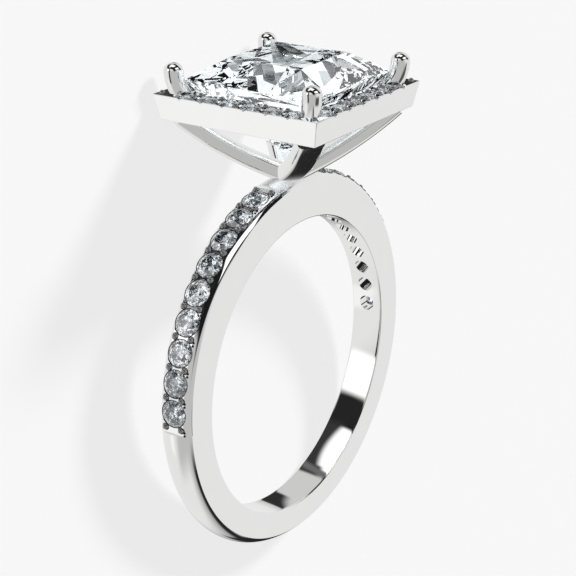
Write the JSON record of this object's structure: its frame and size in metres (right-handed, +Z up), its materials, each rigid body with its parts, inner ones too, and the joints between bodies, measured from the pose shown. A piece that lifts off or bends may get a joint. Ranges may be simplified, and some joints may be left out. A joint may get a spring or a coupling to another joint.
{
  "type": "halo ring",
  "caption": "Finger ring with a square centre stone on four claws, a square halo of small round stones and a stone-set shank, lying on its side.",
  "frame": {"origin": "centre of the bounding box's underside, on the floor that the ring lies on", "axes": "+Z up from the floor, about 9.1 degrees off the finger hole's axis; +Y from the bottom of the band towards the head; +X to the right when the head points away"},
  "size_m": [0.022, 0.0288, 0.0103],
  "materials": {
    "white_gold": "polished white gold, mirror bright",
    "diamond": "polished clear cut stone"
  },
  "bodies": {
    "root": {"ring_mount": "white_gold", "centre_stone": "diamond", "shank_stone_01": "diamond", "shank_stone_02": "diamond", "shank_stone_03": "diamond", "shank_stone_04": "diamond", "shank_stone_05": "diamond", "shank_stone_06": "diamond", "shank_stone_07": "diamond", "shank_stone_08": "diamond", "shank_stone_09": "diamond", "shank_stone_10": "diamond", "shank_stone_11": "diamond", "shank_stone_12": "diamond", "shank_stone_13": "diamond", "shank_stone_14": "diamond", "shank_stone_15": "diamond", "shank_stone_16": "diamond", "shank_stone_17": "diamond", "shank_stone_18": "diamond", "halo_stone_01": "diamond", "halo_stone_02": "diamond", "halo_stone_03": "diamond", "halo_stone_04": "diamond", "halo_stone_05": "diamond", "halo_stone_06": "diamond", "halo_stone_07": "diamond", "halo_stone_08": "diamond", "halo_stone_09": "diamond", "halo_stone_10": "diamond", "halo_stone_11": "diamond", "halo_stone_12": "diamond", "halo_stone_13": "diamond", "halo_stone_14": "diamond", "halo_stone_15": "diamond", "halo_stone_16": "diamond", "halo_stone_17": "diamond", "halo_stone_18": "diamond", "halo_stone_19": "diamond", "halo_stone_20": "diamond", "halo_stone_21": "diamond", "halo_stone_22": "diamond", "halo_stone_23": "diamond", "halo_stone_24": "diamond"}
  },
  "joints": []
}
